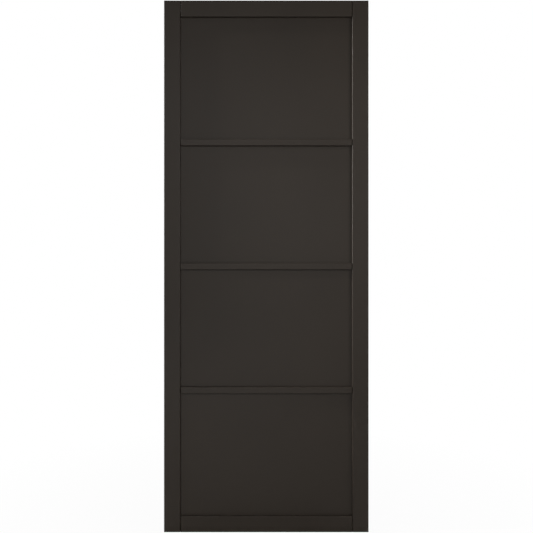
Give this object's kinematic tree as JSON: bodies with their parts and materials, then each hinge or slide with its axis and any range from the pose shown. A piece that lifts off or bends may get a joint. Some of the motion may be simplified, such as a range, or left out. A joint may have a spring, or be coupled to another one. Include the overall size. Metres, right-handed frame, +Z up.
{
  "type": "interior door leaf",
  "caption": "Dark painted interior door leaf with slim stiles, rails and cross bars around flat recessed panels, made to be hung on hinges.",
  "frame": {"origin": "middle of the bottom edge, half way across the width and through the thickness", "axes": "+X across the leaf towards the lock stile, +Y through the thickness towards the back face, +Z up"},
  "size_m": [0.762, 0.035, 1.981],
  "materials": {
    "painted_frame": "satin dark brown-black paint on engineered timber",
    "painted_panel": "satin dark brown-black paint on fibreboard",
    "beech_dowel": "bare beech"
  },
  "bodies": {
    "root": {"hinge_stile": "painted_frame", "lock_stile": "painted_frame", "top_rail": "painted_frame", "bottom_rail": "painted_frame", "upper_bar": "painted_frame", "middle_bar": "painted_frame", "lower_bar": "painted_frame", "top_panel": "painted_panel", "upper_middle_panel": "painted_panel", "lower_middle_panel": "painted_panel", "bottom_panel": "painted_panel", "rail_dowels": "beech_dowel", "bar_dowels": "beech_dowel"}
  },
  "joints": []
}
